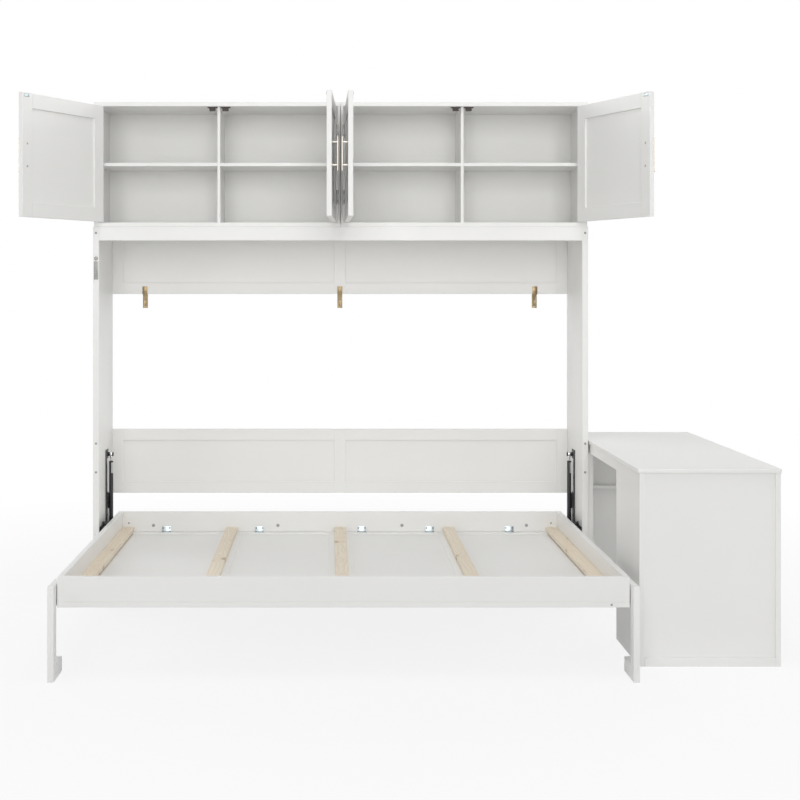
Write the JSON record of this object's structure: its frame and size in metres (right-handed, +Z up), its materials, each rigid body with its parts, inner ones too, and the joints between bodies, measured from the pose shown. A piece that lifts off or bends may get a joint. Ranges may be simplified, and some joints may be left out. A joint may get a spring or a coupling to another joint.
{
  "type": "wall bed with desk",
  "caption": "Sideways wall bed that folds up on struts into a frame with overhead cabinets on hinged doors and a desk fixed at one side.",
  "frame": {"origin": "on the floor, under the middle of the whole as it stands with the bed lowered and the doors open", "axes": "+X across the room towards the desk, +Y towards the wall, +Z up"},
  "size_m": [2.8238, 1.534, 2.125],
  "materials": {
    "white_paint": "satin white paint on board",
    "bare_wood": "bare pale pine",
    "black_steel": "black powder coat",
    "zinc": "bright zinc",
    "tan_zinc": "yellow zinc",
    "grey_cap": "grey cover caps",
    "catch_plastic": "dark brown plastic",
    "nickel": "brushed warm nickel"
  },
  "bodies": {
    "frame": {"side_panel_left": "white_paint", "side_panel_right": "white_paint", "header_rail": "white_paint", "back_frame_upper": "white_paint", "back_panels_upper": "white_paint", "back_frame_lower": "white_paint", "back_panels_lower": "white_paint", "wall_brackets": "tan_zinc", "frame_caps": "grey_cap", "latch_plate": "zinc", "mechanism_plates": "black_steel", "mechanism_bolts": "black_steel", "cabinet_tops": "white_paint", "cabinet_bottoms": "white_paint", "cabinet_sides": "white_paint", "cabinet_centre_panels": "white_paint", "cabinet_dividers": "white_paint", "cabinet_shelves": "white_paint", "cabinet_backs": "white_paint", "door_catches": "catch_plastic", "hinge_leaves": "zinc", "desk_top": "white_paint", "desk_end_panel": "white_paint", "desk_side_panel": "white_paint", "desk_user_stiles": "white_paint", "desk_inner_panel": "white_paint", "desk_shelves": "white_paint", "desk_apron": "white_paint", "desk_rear_stile": "white_paint", "desk_far_panel": "white_paint", "desk_ledge": "white_paint", "desk_plinth": "white_paint"},
    "deck": {"deck_side_rails": "white_paint", "deck_end_rails": "white_paint", "deck_face_frame": "white_paint", "deck_face_panels": "white_paint", "deck_slats": "bare_wood", "deck_brackets": "zinc", "deck_caps": "grey_cap", "deck_arms": "black_steel", "leg_bolts": "zinc"},
    "leg_left": {"leg_left": "white_paint"},
    "leg_right": {"leg_right": "white_paint"},
    "strut_rod_left": {"strut_rod_left": "zinc"},
    "strut_rod_right": {"strut_rod_right": "zinc"},
    "strut_cylinder_left": {"strut_cylinder_left": "black_steel"},
    "strut_cylinder_right": {"strut_cylinder_right": "black_steel"},
    "door_left_outer": {"door_left_outer_frame": "white_paint", "door_left_outer_panel": "white_paint", "door_left_outer_handle": "nickel"},
    "door_left_centre": {"door_left_centre_frame": "white_paint", "door_left_centre_panel": "white_paint", "door_left_centre_handle": "nickel"},
    "door_right_centre": {"door_right_centre_frame": "white_paint", "door_right_centre_panel": "white_paint", "door_right_centre_handle": "nickel"},
    "door_right_outer": {"door_right_outer_frame": "white_paint", "door_right_outer_panel": "white_paint", "door_right_outer_handle": "nickel"}
  },
  "joints": [
    {"name": "bed_fold", "type": "hinge", "parent": "frame", "child": "deck", "pos_m": [-0.14307, 0.478, 0.336], "axis": [-1, 0, 0], "range_deg": [0, 90]},
    {"name": "leg_left_swing", "type": "hinge", "parent": "deck", "child": "leg_left", "pos_m": [-1.13907, -0.656, 0.29], "axis": [1, 0, 0], "range_deg": [0, 90]},
    {"name": "strut_left_swing", "type": "hinge", "parent": "frame", "child": "strut_rod_left", "pos_m": [-1.14257, 0.608, 0.618], "axis": [-1, 0, 0], "range_deg": [0, 19.51]},
    {"name": "strut_left_slide", "type": "slide", "parent": "strut_rod_left", "child": "strut_cylinder_left", "axis": [0, 0, -1], "range_m": [0, 0.1391]},
    {"name": "leg_right_swing", "type": "hinge", "parent": "deck", "child": "leg_right", "pos_m": [0.85293, -0.656, 0.29], "axis": [1, 0, 0], "range_deg": [0, 90]},
    {"name": "strut_right_swing", "type": "hinge", "parent": "frame", "child": "strut_rod_right", "pos_m": [0.85643, 0.608, 0.618], "axis": [-1, 0, 0], "range_deg": [0, 19.51]},
    {"name": "strut_right_slide", "type": "slide", "parent": "strut_rod_right", "child": "strut_cylinder_right", "axis": [0, 0, -1], "range_m": [0, 0.1391]},
    {"name": "door_left_outer_hinge", "type": "hinge", "parent": "frame", "child": "door_left_outer", "pos_m": [-1.15797, 0.3795, 1.8625], "axis": [0, 0, 1], "range_deg": [0, 119.8]},
    {"name": "door_left_centre_hinge", "type": "hinge", "parent": "frame", "child": "door_left_centre", "pos_m": [-0.15617, 0.3795, 1.8625], "axis": [0, 0, -1], "range_deg": [0, 87.6]},
    {"name": "door_right_centre_hinge", "type": "hinge", "parent": "frame", "child": "door_right_centre", "pos_m": [-0.12997, 0.3795, 1.8625], "axis": [0, 0, 1], "range_deg": [0, 89.2]},
    {"name": "door_right_outer_hinge", "type": "hinge", "parent": "frame", "child": "door_right_outer", "pos_m": [0.87183, 0.3795, 1.8625], "axis": [0, 0, -1], "range_deg": [-6, 113.9]}
  ],
  "couplings": [
    {"joint": "leg_left_swing", "follows": "bed_fold", "ratio": 1},
    {"joint": "strut_left_swing", "follows": "bed_fold", "ratio": 0.2168},
    {"joint": "strut_left_slide", "follows": "bed_fold", "m_per_rad": 0.08855},
    {"joint": "leg_right_swing", "follows": "bed_fold", "ratio": 1},
    {"joint": "strut_right_swing", "follows": "bed_fold", "ratio": 0.2168},
    {"joint": "strut_right_slide", "follows": "bed_fold", "m_per_rad": 0.08855}
  ]
}
